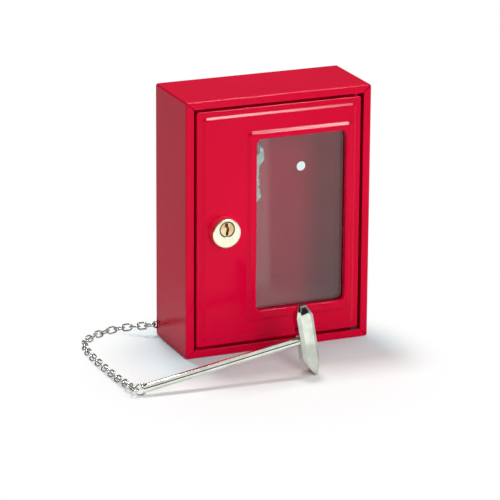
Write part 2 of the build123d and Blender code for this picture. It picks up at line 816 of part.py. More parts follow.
# the ring's wire bends as it goes through the handle, so its hole is wider than the wire
ring_outer = ring_radius + link_wire / 2
ring_inner = sqrt((ring_radius - link_wire / 2) ** 2 - handle_radius**2)
with BuildPart() as hammer_handle:
    handle_foot = ring_centre + along_handle * (ring_radius - handle_end)
    with BuildSketch(Plane(handle_foot, z_dir=along_handle)):
        Circle(handle_radius)
    extrude(amount=handle_end + handle_length + handle_bury)
    chamfer(hammer_handle.edges().sort_by(Axis.X)[0], handle_chamfer)
    hole_centre = ring_centre + along_handle * (ring_outer + ring_inner) / 2
    with BuildSketch(Plane(hole_centre, x_dir=along_handle, z_dir=up_head)):
        Circle((ring_outer - ring_inner) / 2 + hole_play)
    extrude(amount=2 * handle_radius, both=True, mode=Mode.SUBTRACT)

head_top = head_length - head_below
with BuildPart() as hammer_head:
    with BuildSketch(Plane(head_centre - up_head * head_below, x_dir=along_handle, z_dir=up_head)):
        Rectangle(head_width, head_width)
    extrude(amount=head_length)
    # eight flats, which all run in towards the striking face
    for flat in range(4):
        side = along_handle * cos(pi / 4 * flat) + Vector(0, 1, 0) * sin(pi / 4 * flat)
        wide, narrow = (head_width, head_face_width) if flat % 2 == 0 else (
            sqrt(2) * (head_width - head_chamfer), sqrt(2) * (head_face_width - head_face_chamfer)
        )
        with BuildSketch(Plane(head_centre, x_dir=side, z_dir=side.cross(up_head))):
            Polygon(
                (-wide / 2, -head_below), (wide / 2, -head_below),
                (wide / 2, head_top - head_face_taper), (narrow / 2, head_top),
                (-narrow / 2, head_top), (-wide / 2, head_top - head_face_taper),
                align=None,
            )
        extrude(amount=head_width, both=True, mode=Mode.INTERSECT)
    # chisel end, its edge square to the handle
    with BuildSketch(Plane(head_centre, x_dir=along_handle, z_dir=(0, -1, 0))):
        Polygon(
            (-head_width / 2, head_tip_taper - head_below),
            (head_tip_offset - head_tip_width / 2, -head_below),
            (head_tip_offset + head_tip_width / 2, -head_below),
            (head_width / 2, head_tip_taper - head_below),
            (head_width / 2, head_top), (-head_width / 2, head_top),
            align=None,
        )
    extrude(amount=head_width, both=True, mode=Mode.INTERSECT)
    # socket for the handle
    with BuildSketch(Plane(head_centre - along_handle * head_width, z_dir=along_handle)):
        Circle(handle_radius)
    extrude(amount=head_width + handle_bury, mode=Mode.SUBTRACT)

# ================================================================ export
pieces = {
    "case_shell": case_shell,
    "hinge_bracket_top": hinge_bracket_top,
    "hinge_bracket_bottom": hinge_bracket_bottom,
    "hinge_pin_top": hinge_pin_top,
    "hinge_pin_bottom": hinge_pin_bottom,
    "hinge_washer": hinge_washer,
    "strike_bracket": strike_bracket,
    "stop_tabs": stop_tabs,
    "key_hook": key_hook,
    "hook_rivets": hook_rivets,
    "chain_stud": chain_stud,
    "chain_end_link": chain_end_link,
    "door_panel": door_panel,
    "glass_pane": glass_pane,
    "glass_rail_left": glass_rail_left,
    "glass_rail_right": glass_rail_right,
    "glass_rail_bottom": glass_rail_bottom,
    "glass_clip": glass_clip,
    "clip_stud": clip_stud,
    "clip_nut": clip_nut,
    "lock_barrel": lock_barrel,
    "lock_nut": lock_nut,
    "lock_plug": lock_plug,
    "lock_cam": lock_cam,
    "cam_screw": cam_screw,
    "emergency_key": emergency_key,
    "handle_ring": handle_ring,
    "hammer_handle": hammer_handle,
    "hammer_head": hammer_head,
}
for label, piece in pieces.items():
    piece.part.label = label
    export_step(piece.part, f"parts/{label}.step")
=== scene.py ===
"""A small red key cabinet with a glazed, locked door, and a striking hammer on a chain."""
from math import cos, pi, radians, sin, tan

import bmesh
import bpy
import numpy as np
from mathutils import Matrix, Vector


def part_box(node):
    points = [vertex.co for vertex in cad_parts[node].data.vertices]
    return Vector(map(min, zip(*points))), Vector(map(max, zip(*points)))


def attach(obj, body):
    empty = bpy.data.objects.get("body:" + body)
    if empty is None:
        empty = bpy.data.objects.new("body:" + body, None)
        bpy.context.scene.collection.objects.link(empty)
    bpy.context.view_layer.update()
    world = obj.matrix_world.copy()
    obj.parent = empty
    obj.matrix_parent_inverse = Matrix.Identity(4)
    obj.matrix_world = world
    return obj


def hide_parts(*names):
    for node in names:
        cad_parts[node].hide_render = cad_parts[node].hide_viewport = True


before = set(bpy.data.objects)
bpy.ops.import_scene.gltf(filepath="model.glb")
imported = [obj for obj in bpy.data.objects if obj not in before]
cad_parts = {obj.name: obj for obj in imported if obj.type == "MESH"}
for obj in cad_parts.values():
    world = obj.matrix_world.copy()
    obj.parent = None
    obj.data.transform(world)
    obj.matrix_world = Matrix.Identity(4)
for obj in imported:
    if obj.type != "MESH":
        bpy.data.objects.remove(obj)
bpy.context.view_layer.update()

MM = 0.001
merge_gap = 0.0005 * MM  # corners nearer to each other than this are one
flat_turn = radians(0.4)  # faces that turn by less than this are one flat area


# ---------------------------------------------------------------- shader sums
class Tone:
    """A shader value that adds, multiplies and compares as a number does, by adding Math nodes."""

    def __init__(self, finish, socket):
        self.finish = finish
        self.socket = socket

    def sums(self, operation, *terms):
        return self.finish.add("ShaderNodeMath", {"operation": operation}, terms)

    def __add__(self, other):
        return self.sums("ADD", self, other)

    __radd__ = __add__

    def __mul__(self, other):
        return self.sums("MULTIPLY", self, other)

    __rmul__ = __mul__

    def __sub__(self, other):
        return self.sums("SUBTRACT", self, other)

    def __rsub__(self, other):
        return self.sums("SUBTRACT", other, self)

    def __pow__(self, power):
        return self.sums("POWER", self, power)

    def wave(self):
        return self.sums("SINE", self)

    def size(self):
        return self.sums("ABSOLUTE", self)

    def root(self):
        return self.sums("SQRT", self)

    def most(self, other):
        return self.sums("MAXIMUM", self, other)

    def band(self, low, high):
        """0 below low, 1 above high and a smooth rise between them."""
        return self.finish.add(
            "ShaderNodeMapRange", {"interpolation_type": "SMOOTHSTEP"},
            {"Value": self, "From Min": low, "From Max": high},
        )


class Nodes:
    """A node tree under construction."""

    def __init__(self, tree):
        self.tree = tree
        self.tree.nodes.clear()

    def add(self, kind, settings, sockets, output=0):
        """A node of this kind: its settings first, then its sockets' values or links."""
        node = self.tree.nodes.new(kind)
        for name, value in settings.items():
            setattr(node, name, value)
        pairs = sockets.items() if isinstance(sockets, dict) else enumerate(sockets)
        for key, value in pairs:
            if isinstance(value, Tone):
                self.tree.links.new(value.socket, node.inputs[key])
            else:
                node.inputs[key].default_value = value
        return Tone(self, node.outputs[output])

    def blend(self, share, first, second):
        """The first colour where share is 0, and the second where it is 1."""
        return self.add(
            "ShaderNodeMix", {"data_type": "RGBA"}, {0: share, 6: first, 7: second}, 2
        )


class Finish(Nodes):
    """A material under construction."""

    def __init__(self, name):
        self.material = bpy.data.materials.new(name)
        self.material.use_nodes = True
        super().__init__(self.material.node_tree)
        self.place = self.add("ShaderNodeTexCoord", {}, {}, "Object")

    def xyz(self):
        return [self.add("ShaderNodeSeparateXYZ", {}, [self.place], axis) for axis in range(3)]

    def noise(self, scale, detail=2.0, stretch=None):
        """Noise from 0 to 1 with features of about 1 / scale metres."""
        place = self.place
        if stretch:
            place = self.add("ShaderNodeMapping", {}, {"Vector": place, "Scale": stretch})
        return self.add(
            "ShaderNodeTexNoise", {}, {"Vector": place, "Scale": scale, "Detail": detail}
        )

    def specks(self, scale, size):
        """1 inside small scattered specks, size from 0 to 1 of their spacing, and 0 elsewhere."""
        reach = self.add("ShaderNodeTexVoronoi", {}, {"Vector": self.place, "Scale": scale})
        return 1 - reach.band(size * 0.7, size)

    def relief(self, height, depth):
        """Surface relief: height from 0 to 1 is depth metres deep."""
        return self.add("ShaderNodeBump", {}, {"Height": height, "Distance": depth})

    def shade(self, **sockets):
        named = {key.replace("_", " "): value for key, value in sockets.items()}
        return self.add("ShaderNodeBsdfPrincipled", {}, named)

    def done(self, shader):
        output = self.tree.nodes.new("ShaderNodeOutputMaterial")
        self.tree.links.new(shader.socket, output.inputs["Surface"])
        return self.material


def rgb(red, green, blue):
    """Linear colour from the values of 0 to 255 that a screen shows."""
    return tuple(
        c / 12.92 if c <= 0.04045 else ((c + 0.055) / 1.055) ** 2.4
        for c in (red / 255, green / 255, blue / 255)
    ) + (1.0,)


# ---------------------------------------------------------------- finishes
def red_enamel():
    """Gloss enamel with a little orange peel and dust, and a slow change of shade."""
    f = Finish("red enamel")
    clouds = f.noise(14, 3)
    peel = f.noise(420, 1)
    dust = f.noise(2600, 2)
    pips = f.specks(180, 0.05)
    return f.done(f.shade(
        Base_Color=f.blend(clouds.band(0.3, 0.7), rgb(221, 0, 54), rgb(213, 0, 49)),
        Roughness=0.15 + (clouds - 0.5) * 0.05 + (dust - 0.5) * 0.03,
        Normal=f.relief(peel * 0.75 + dust * 0.15 + pips * 0.4, 0.000005),
        Specular_IOR_Level=0.08,
    ))


def plated_steel(name, colour, dull, roughness, grain):
    """Plated sheet or wire with a cloudy plating and fine drawing marks."""
    f = Finish(name)
    clouds = f.noise(220, 3)
    marks = f.noise(grain, 2, (1, 1, 0.08))
    flecks = f.noise(1500, 2)
    return f.done(f.shade(
        Base_Color=f.blend(clouds.band(0.35, 0.75), colour, dull),
        Metallic=1.0,
        Roughness=roughness + (clouds - 0.5) * 0.12 + (marks - 0.5) * 0.08,
        Normal=f.relief(marks * 0.7 + flecks * 0.3, 0.000012),
    ))


tool_pitch = 0.22 * MM  # between the rings that a lathe tool leaves


def turned_metal(name, colour, dull, roughness, centre, edge=1.0):
    """Metal faced on a lathe: fine rings round an axis through centre, painted dark past radius edge
    as painted shade in the gap round it.
    """
    f = Finish(name)
    x, _, z = f.xyz()
    across = x - centre[0]
    up = z - centre[1]
    radius = (across * across + up * up).root()
    clouds = f.noise(260, 3)
    rings = (radius * (2 * pi / tool_pitch) + clouds * 3).wave() * 0.5 + 0.5
    face = f.blend(clouds.band(0.3, 0.75), colour, dull)
    return f.done(f.shade(
        # painted shade: past radius edge the face turns dark brown, standing in for the shade in the
        # gap round the part
        Base_Color=f.blend(radius.band(edge - 0.00015, edge + 0.0001), face, rgb(52, 40, 26)),
        Metallic=1.0,
        Roughness=roughness + (clouds - 0.5) * 0.1,
        Normal=f.relief(rings, 0.000004),
    ))


def polished_bar(name, along, light, dark):
    """Plated bright bar, clouded between two tones, with faint polishing marks round it."""
    f = Finish(name)
    run = f.add("ShaderNodeVectorMath", {"operation": "DOT_PRODUCT"}, [f.place, along], "Value")
    clouds = f.noise(120, 3)
    fine = f.add("ShaderNodeTexNoise", {"noise_dimensions": "1D"}, {"W": run * 5000, "Scale": 1.0})
    return f.done(f.shade(
        Base_Color=f.blend(clouds.band(0.35, 0.75), light, dark),
        Metallic=1.0,
        Roughness=0.075 + (clouds - 0.5) * 0.04 + (fine - 0.5) * 0.03,
        Normal=f.relief(fine, 0.0000004),
    ))


def black_nylon():
    """Cloudy matt nylon."""
    f = Finish("black nylon")
    clouds = f.noise(400, 2)
    return f.done(f.shade(
        Base_Color=f.blend(clouds, rgb(38, 38, 38), rgb(28, 28, 28)),
        Roughness=0.45 + clouds * 0.1,
        Normal=f.relief(clouds, 0.00001),
    ))


def window_glass():
    """Float glass with a faint film of dust."""
    f = Finish("window glass")
    film = f.noise(60, 3)
    clear = f.add("ShaderNodeBsdfTransparent", {}, {"Color": (0.87, 0.95, 0.95, 1)})
    gloss = f.add("ShaderNodeBsdfGlossy", {}, {"Color": (1, 1, 1, 1), "Roughness": 0.02})
    slant = f.add("ShaderNodeLayerWeight", {}, {"Blend": 0.5}, "Facing")
    mirror = 0.054 + slant**5 * 0.9 + (film - 0.5) * 0.01  # more of a mirror at a low angle
    return f.done(f.add("ShaderNodeMixShader", {}, [mirror, clear, gloss]))


# ---------------------------------------------------------------- making pieces
def settled(piece):
    """The piece with its modifiers worked into a plain mesh."""
    graph = bpy.context.evaluated_depsgraph_get()
    mesh = bpy.data.meshes.new_from_object(piece.evaluated_get(graph))
    piece.modifiers.clear()
    piece.data = mesh
    return piece


def new_piece(name, shape):
    """A piece from a bmesh, which is freed."""
    mesh = bpy.data.meshes.new(name)
    shape.to_mesh(mesh)
    shape.free()
    piece = bpy.data.objects.new(name, mesh)
    bpy.context.collection.objects.link(piece)
    return piece


def modified(piece, kind, **settings):
    """Adds a modifier of this kind with these settings."""
    modifier = piece.modifiers.new(kind.lower(), kind)
    for name, value in settings.items():
        setattr(modifier, name, value)


def rounded_edges(piece, radius, segments=3, corner=35):
    """Rounds the edges that turn by more than corner degrees, and shades the rest smooth."""
    piece.data.shade_smooth()
    modified(piece, "TRIANGULATE", min_vertices=5)
    modified(
        piece, "BEVEL", width=radius, segments=segments, limit_method="ANGLE",
        angle_limit=radians(corner), use_clamp_overlap=False, miter_outer="MITER_ARC",
        loop_slide=False,
    )
    modified(piece, "WEIGHTED_NORMAL", keep_sharp=True, weight=80)
    return settled(piece)


def copied(name, node):
    """A copy of a frame node, its corners merged and each flat area in one face."""
    shape = bmesh.new()
    shape.from_mesh(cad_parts[node].data)
    bmesh.ops.remove_doubles(shape, verts=shape.verts, dist=merge_gap)
    bmesh.ops.dissolve_limit(
        shape, angle_limit=flat_turn, verts=shape.verts, edges=shape.edges,
    )
    return new_piece(name, shape)


def dressed(piece, finish, body, node):
    """Gives a finished piece its finish and its body, in place of a frame node."""
    piece.data.materials.clear()
    piece.data.materials.append(finish)
    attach(piece, body)
    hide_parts(node)


def rounded_copy(name, node, radius, finish, body, segments=3):
    """A frame node's own shape with its edges rounded, dressed in its place."""
    dressed(rounded_edges(copied(name, node), radius, segments), finish, body, node)


def paint(node, finish):
    """Gives a frame node's own object this finish in every slot."""
    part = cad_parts[node]
    if not part.data.materials:
        part.data.materials.append(finish)
    for place in part.material_slots:
        place.material = finish


def centre_of(node):
    """Middle of a frame node's box."""
    low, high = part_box(node)
    return (low + high) / 2


# ---------------------------------------------------------------- chain
chain_wire = 1.12 * MM
link_length = 6.49 * MM  # between the wire's middle lines at a link's two ends
link_width = 4.0 * MM  # between the middle lines of its two sides
end_link_length = 10.0 * MM
ring_width = 7.0 * MM
weld_swell = 0.1  # thicker wire at a link's butt weld
weld_side = np.array((0.3, 0.5, -0.8))  # the side that a link turns its weld to


def link_tree():
    """Oval wire links, one on each point, turned by the point's two directions."""
    tree = bpy.data.node_groups.new("wire links", "GeometryNodeTree")
    inputs = (
        ("Points", "Geometry"), ("Link Length", "Float"), ("Link Width", "Float"),
        ("Wire", "Float"), ("Weld Swell", "Float"), ("Finish", "Material"),
    )
    for name, kind in inputs:
        tree.interface.new_socket(name, in_out="INPUT", socket_type="NodeSocket" + kind)
    tree.interface.new_socket("Links", in_out="OUTPUT", socket_type="NodeSocketGeometry")
    g = Nodes(tree)
    given = tree.nodes.new("NodeGroupInput")
    points, length, width, wire, swell, finish = (Tone(g, socket) for socket in given.outputs[:6])

    outline = g.add("GeometryNodeCurvePrimitiveQuadrilateral", {}, {"Width": length, "Height": width})
    oval = g.add(
        "GeometryNodeFilletCurve", {"mode": "POLY"},
        {"Curve": outline, "Count": 8, "Radius": width * 0.4999, "Limit Radius": True},
    )
    oval = g.add("GeometryNodeResampleCurve", {}, {"Curve": oval, "Count": 48})
    place = g.add("GeometryNodeInputPosition", {}, {})
    along, across = (g.add("ShaderNodeSeparateXYZ", {}, [place], axis) for axis in range(2))
    weld = (1 - along.size().band(wire * 0.25, wire * 0.8)) * across.band(0.0, width * 0.2)
    section = g.add("GeometryNodeCurvePrimitiveCircle", {}, {"Resolution": 12, "Radius": wire * 0.5})
    link = g.add(
        "GeometryNodeCurveToMesh", {},
        {"Curve": oval, "Profile Curve": section, "Scale": 1 + weld * swell},
    )
    ways = [
        g.add("GeometryNodeInputNamedAttribute", {"data_type": "FLOAT_VECTOR"}, {"Name": name})
        for name in ("along", "wide")
    ]
    turn = g.add(
        "FunctionNodeAxesToRotation", {"primary_axis": "X", "secondary_axis": "Y"}, ways,
    )
    links = g.add(
        "GeometryNodeInstanceOnPoints", {}, {"Points": points, "Instance": link, "Rotation": turn},
    )
    links = g.add("GeometryNodeSetShadeSmooth", {}, {"Geometry": links})
    links = g.add("GeometryNodeRealizeInstances", {}, {"Geometry": links})
    links = g.add("GeometryNodeSetMaterial", {}, {"Geometry": links, "Material": finish})
    output = tree.nodes.new("NodeGroupOutput")
    tree.links.new(links.socket, output.inputs[0])
    return tree


def wire_frames(node):
    """The middle, length direction and width direction of each closed wire in a frame node."""
    shape = bmesh.new()
    shape.from_mesh(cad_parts[node].data)
    bmesh.ops.remove_doubles(shape, verts=shape.verts, dist=merge_gap)
    left = dict.fromkeys(shape.verts)
    frames = []
    while left:
        wire = [next(iter(left))]
        del left[wire[0]]
        for vert in wire:  # grows while its neighbours are found
            for line in vert.link_edges:
                other = line.other_vert(vert)
                if other in left:
                    del left[other]
                    wire.append(other)
        corners = np.array([vert.co for vert in wire])
        middle = corners.mean(0)
        directions = np.linalg.svd(corners - middle, full_matrices=False)[2]
        directions *= np.where(directions @ weld_side < 0, -1, 1)[:, None]
        spread = (corners - middle) @ directions.T
        middle = middle + (spread.min(0) + spread.max(0)) / 2 @ directions
        frames.append((middle, directions[0], directions[1]))
    shape.free()
    frames.sort(key=lambda item: tuple(item[0]))
    return frames


def wire_links(name, node, length, width, body, tree):
    """Nickelled links in place of the closed wires of a frame node."""
    frames = wire_frames(node)
    mesh = bpy.data.meshes.new(name)
    mesh.from_pydata([middle for middle, along, wide in frames], [], [])
    for label, part in (("along", 1), ("wide", 2)):
        ways = mesh.attributes.new(label, "FLOAT_VECTOR", "POINT")
        ways.data.foreach_set("vector", np.array([item[part] for item in frames]).ravel())
    piece = bpy.data.objects.new(name, mesh)
    bpy.context.collection.objects.link(piece)
    modifier = piece.modifiers.new("links", "NODES")
    modifier.node_group = tree
    sizes = {
        "Link Length": length, "Link Width": width, "Wire": chain_wire,
        "Weld Swell": weld_swell, "Finish": nickel_wire,
    }
    for socket in tree.interface.items_tree:
        if socket.name in sizes:
            modifier[socket.identifier] = sizes[socket.name]
    settled(piece)
    dressed(piece, nickel_wire, body, node)


# ---------------------------------------------------------------- folded and pressed sheet
sheet = 1.0 * MM
door_low, door_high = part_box("door_panel")
door_fold = 1.2 * MM
door_corner = 1.5 * MM
door_rear = door_high.y
frame_face = door_low.y  # the frame round the window stands out furthest
frame_height = 1.6 * MM
frame_slope = 2.0 * MM
field_face = frame_face + frame_height
field_height = 1.2 * MM
field_slope = 1.8 * MM
rim_face = field_face + field_height
field_margin = 3.4 * MM
press_radius = 1.1 * MM  # soft bends of the pressed fields
field_land = 0.36 * MM  # flat between a bend and the flat middle of a field
frame_land = 0.4 * MM
field_corner = 2.6 * MM
window_left = door_low.x + 37.8 * MM
window_right = door_high.x - 10.6 * MM
window_low = door_low.z + 19.6 * MM
window_high = door_high.z - 19.6 * MM
window_corner = 3.4 * MM
collar_depth = 3.0 * MM
collar_radius = press_radius * 0.98
frame_left, frame_right, frame_top, frame_bottom = 5.8 * MM, 4.6 * MM, 5.2 * MM, 6.6 * MM
frame_corner = 3.0 * MM
lock_hole = 8.15 * MM
hinge_axis = centre_of("hinge_pin_top").xy
pivot_hole = 1.3 * MM
least_corner = 0.6 * MM  # no round corner in the sheet is tighter


def rounded_loop(box, inset, radius, depth, steps=6):
    """A rectangle with round corners that faces the front: box is left, right, low and high."""
    left, right, low, high = box
    radius = max(radius - inset, least_corner)
    reach = inset + radius
    corners = (
        (right - reach, high - reach), (left + reach, high - reach),
        (left + reach, low + reach), (right - reach, low + reach),
    )
    loop = []
    for quarter, (x, z) in enumerate(corners):
        for step in range(steps + 1):
            turn = (quarter + step / steps) * pi / 2
            loop.append((x + radius * cos(turn), depth, z + radius * sin(turn)))
    return loop


def bend(before, corner, after, radius, steps):
    """Points of a soft bend of about this radius at a corner."""
    back = (before - corner).normalized()
    on = (after - corner).normalized()
    tangent = radius * tan((pi - back.angle(on)) / 2)
    start, end = corner + back * tangent, corner + on * tangent
    shares = [step / steps for step in range(steps + 1)]
    return [
        start * (1 - share) ** 2 + corner * 2 * share * (1 - share) + end * share**2
        for share in shares
    ]


def eased(line, steps=5):
    """A line of (inset, depth, radius) corners, with each corner bent round to its radius."""
    points = [Vector(corner[:2]) for corner in line]
    path = [points[0]]
    for before, point, after, corner in zip(points, points[1:], points[2:], line[1:]):
        path += bend(before, point, after, corner[2], steps)
    return path + [points[-1]]


def skin_rings(shape, loops):
    """Joins loops of equal length with faces, and returns the loops' corners."""
    rings = [[shape.verts.new(point) for point in loop] for loop in loops]
    for inner, outer in zip(rings, rings[1:]):
        for here in range(len(inner)):
            there = (here + 1) % len(inner)
            shape.faces.new((inner[here], inner[there], outer[there], outer[here]))
    return rings


def ring_edges(shape, ring):
    """The edges between neighbours in a closed ring, made where there are none yet."""
    pairs = [(ring[here - 1], ring[here]) for here in range(len(ring))]
    return [shape.edges.get(pair) or shape.edges.new(pair) for pair in pairs]


def pressed_door():
    """The door's sheet: folded edge, two raised fields and a collar round the window."""
    edge_box = (door_low.x, door_high.x, door_low.z, door_high.z)
    frame_box = (
        window_left - frame_left, window_right + frame_right,
        window_low - frame_bottom, window_high + frame_top,
    )
    window_box = (window_left, window_right, window_low, window_high)
    top_of_field = field_margin + field_slope
    outer = eased([
        (0, door_rear, 0), (0, rim_face, door_fold), (field_margin, rim_face, press_radius),
        (top_of_field, field_face, press_radius), (top_of_field + field_land, field_face, 0),
    ])
    raised = eased([
        (-frame_land, field_face, 0), (0, field_face, press_radius),
        (frame_slope, frame_face, press_radius), (frame_slope + frame_land, frame_face, 0),
    ])
    collar = eased([
        (-press_radius, frame_face, 0), (0, frame_face, collar_radius),
        (0, frame_face + collar_depth, 0),
    ])
    shape = bmesh.new()
    rim_loops = []
    for inset, depth in outer:
        corner = door_corner if inset < field_margin * 0.6 else field_corner + field_margin
        rim_loops.append(rounded_loop(edge_box, inset, corner, depth))
    rim = skin_rings(shape, rim_loops)
    frame_loops = [rounded_loop(frame_box, inset, frame_corner, depth) for inset, depth in raised]
    collar_loops = [rounded_loop(window_box, inset, window_corner, depth) for inset, depth in collar]
    window = skin_rings(shape, frame_loops + collar_loops)
    lock = centre_of("lock_nut")
    hole = [
        shape.verts.new((lock.x + lock_hole * cos(turn), field_face, lock.z + lock_hole * sin(turn)))
        for turn in np.linspace(0, 2 * pi, 48, endpoint=False)
    ]
    border = [edge for ring in (rim[-1], window[0], hole) for edge in ring_edges(shape, ring)]
    bmesh.ops.triangle_fill(shape, use_beauty=True, edges=border, normal=(0, -1, 0))
    bmesh.ops.recalc_face_normals(shape, faces=shape.faces)
    front = max(shape.faces, key=lambda face: face.calc_area())
    if front.normal.y > 0:
        bmesh.ops.reverse_faces(shape, faces=shape.faces)
    return new_piece("pressed_door", shape)


def drilled(piece, middle, radius, low, high):
    """Cuts an upright round hole."""
    bpy.ops.mesh.primitive_cylinder_add(
        vertices=32, radius=radius, depth=high - low, location=(*middle, (low + high) / 2)
    )
    drill = bpy.context.object
    modified(piece, "BOOLEAN", operation="DIFFERENCE", object=drill, solver="EXACT")
    settled(piece)
    bpy.data.objects.remove(drill)


# ---------------------------------------------------------------- turned and bent pieces
def turned_piece(shape, base, axis, profile, around=40):
    """Adds a solid of revolution: profile is (distance along the axis, radius) from end to end."""
    axis = Vector(axis).normalized()
    side = axis.orthogonal().normalized()
    other = axis.cross(side)
    rings = []
    for along, radius in profile:
        middle = Vector(base) + axis * along
        rings.append([
            shape.verts.new(middle + (side * cos(turn) + other * sin(turn)) * radius)
            for turn in np.linspace(0, 2 * pi, around, endpoint=False)
        ])
    faces = [shape.faces.new(reversed(rings[0])), shape.faces.new(rings[-1])]
    for low, high in zip(rings, rings[1:]):
        for here in range(around):
            there = (here + 1) % around
            faces.append(shape.faces.new((low[here], low[there], high[there], high[here])))
    bmesh.ops.recalc_face_normals(shape, faces=faces)


def domed(height, radius, steps=6):
    """Profile of a low domed head from its rim to the small flat at its top."""
    return [
        (height * sin(turn), radius * cos(turn))
        for turn in np.linspace(0, pi / 2 * 0.97, steps)
    ]


def bent_rod(name, corners, radius, bend_radius, steps=8):
    """A round bar along three corners, bent to this radius at the middle one."""
    first, middle, last = (Vector(corner) for corner in corners)
    path = [first, *bend(first, middle, last, bend_radius, steps), last]
    curve = bpy.data.curves.new(name, "CURVE")
    curve.dimensions = "3D"
    curve.bevel_depth = radius
    curve.bevel_resolution = 4
    curve.use_fill_caps = True
    line = curve.splines.new("POLY")
    line.points.add(len(path) - 1)
    for point, place in zip(line.points, path):
        point.co = (*place, 1)
    bar = bpy.data.objects.new(name, curve)
    bpy.context.collection.objects.link(bar)
    mesh = bpy.data.meshes.new_from_object(bar)
    bpy.data.objects.remove(bar)
    shape = bmesh.new()
    shape.from_mesh(mesh)
    bmesh.ops.remove_doubles(shape, verts=shape.verts, dist=0.001 * MM)
    bmesh.ops.recalc_face_normals(shape, faces=shape.faces)
    return shape


def slab(shape, box, radius, front, back):
    """Adds a plate with round corners that faces the front."""
    near, far = (
        [shape.verts.new(point) for point in rounded_loop(box, 0, radius, depth)]
        for depth in (front, back)
    )
    faces = [shape.faces.new(near), shape.faces.new(reversed(far))]
    for here in range(len(near)):
        there = (here + 1) % len(near)
        faces.append(shape.faces.new((near[there], near[here], far[here], far[there])))
    bmesh.ops.recalc_face_normals(shape, faces=faces)


# ---------------------------------------------------------------- the cabinet
handle_rise = radians(9.442)  # slope of the handle, from its ring up to the head
handle_way = Vector((cos(handle_rise), 0, sin(handle_rise)))
head_way = Vector((-sin(handle_rise), 0, cos(handle_rise)))
lock_middle = centre_of("lock_nut")
plug_middle = centre_of("lock_plug")

enamel = red_enamel()
zinc = plated_steel("zinc plate", rgb(178, 180, 178), rgb(150, 152, 150), 0.34, 900)
nickel_wire = plated_steel("nickelled wire", rgb(206, 210, 204), rgb(160, 165, 160), 0.16, 2200)
lock_face = turned_metal(
    "satin lock face", rgb(242, 243, 220), rgb(234, 233, 204), 0.3, (lock_middle.x, lock_middle.z)
)
plug_brass = turned_metal(
    "brass plug", rgb(232, 210, 168), rgb(206, 178, 130), 0.28, (plug_middle.x, plug_middle.z),
    # the plug's rim past this radius gets painted shade
    edge=4.25 * MM,
)
key_metal = plated_steel("nickelled key", rgb(206, 206, 198), rgb(176, 176, 166), 0.25, 1500)
bright_handle = polished_bar(
    "bright handle", tuple(handle_way), rgb(232, 237, 228), rgb(214, 219, 208)
)
# painted shade: the head's plating is a darker copy of the handle's, to offset the white floor and
# lamp it mirrors
head_plating_darker = polished_bar("bright head", tuple(head_way), rgb(208, 214, 204), rgb(186, 192, 181))
washer_nylon = black_nylon()
glass = window_glass()

for node in (
    "hinge_bracket_top", "hinge_bracket_bottom", "strike_bracket", "stop_tabs",
    "hinge_pin_top", "hinge_pin_bottom",
):
    paint(node, enamel)
for node in (
    "glass_rail_left", "glass_rail_right", "glass_rail_bottom", "glass_clip", "clip_stud",
    "clip_nut", "lock_cam", "cam_screw",
):
    paint(node, zinc)
paint("hinge_washer", washer_nylon)

rounded_copy("folded_case", "case_shell", 0.15 * MM, enamel, "case", 2)

door = pressed_door()
door.data.shade_smooth()
modified(door, "SOLIDIFY", thickness=sheet, offset=-1, use_even_offset=True)
settled(door)
drilled(door, hinge_axis, pivot_hole, door_low.z - sheet, door_high.z + sheet)
door.data.set_sharp_from_angle(angle=radians(40))
modified(door, "WEIGHTED_NORMAL", keep_sharp=True, weight=60)
settled(door)
dressed(door, enamel, "door", "door_panel")

rounded_copy("window_pane", "glass_pane", 0.25 * MM, glass, "door", 2)
rounded_copy("lock_body", "lock_barrel", 0.3 * MM, lock_face, "door")
rounded_copy("lock_ring_nut", "lock_nut", 0.25 * MM, lock_face, "door")
rounded_copy("keyed_plug", "lock_plug", 0.18 * MM, plug_brass, "lock_rotor")
rounded_copy("hanging_key", "emergency_key", 0.22 * MM, key_metal, "key")

# key hook: a plate with two rivets and a bent wire
hook_low, hook_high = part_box("key_hook")
hook_wire = 2.4 * MM
hook_plate = 1.2 * MM
hook_x = (hook_low.x + hook_high.x) / 2
hook_z = (hook_low.z + hook_high.z) / 2
plate_face = hook_high.y - hook_plate
hook_front = hook_low.y + hook_wire / 2
hook_top = hook_z + 6.0 * MM
hook_bend = 2.6 * MM
plate_corner = 2.25 * MM
hook_box = (hook_low.x, hook_high.x, hook_low.z, hook_high.z)
hook_shape = bent_rod("hook", [
    (hook_x, plate_face, hook_z), (hook_x, hook_front, hook_z), (hook_x, hook_front, hook_top),
], hook_wire / 2, hook_bend)
slab(hook_shape, hook_box, plate_corner, plate_face, hook_high.y)
hook = rounded_edges(new_piece("wire_hook", hook_shape), 0.25 * MM)
dressed(hook, zinc, "case", "key_hook")

rivet_low, rivet_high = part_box("hook_rivets")
rivet_head = 2.3 * MM
rivet_shank = 1.25 * MM
head_height = 0.9 * MM
head_seat = rivet_low.y + head_height
shank = [(head_seat - rivet_high.y, rivet_shank), (0, rivet_shank)]
rivet_shape = bmesh.new()
for height in (rivet_low.z + rivet_head, rivet_high.z - rivet_head):
    turned_piece(
        rivet_shape, (hook_x, head_seat, height), (0, -1, 0), shank + domed(head_height, rivet_head)
    )
rivets = rounded_edges(new_piece("domed_rivets", rivet_shape), 0.05 * MM, 1, 60)
dressed(rivets, zinc, "case", "hook_rivets")

# ---------------------------------------------------------------- chain and hammer
links = link_tree()
for run in range(1, 4):
    wire_links(
        f"chain_links_{run}", f"chain_run_{run}", link_length, link_width, f"chain_{run}", links
    )
wire_links("long_link", "chain_end_link", end_link_length, link_width, "case", links)
wire_links("hammer_ring", "handle_ring", ring_width, ring_width, "ring", links)
rounded_copy("chain_anchor", "chain_stud", 0.2 * MM, nickel_wire, "case")
rounded_copy("bright_bar", "hammer_handle", 0.2 * MM, bright_handle, "hammer")
rounded_copy("forged_head", "hammer_head", 0.3 * MM, head_plating_darker, "hammer")


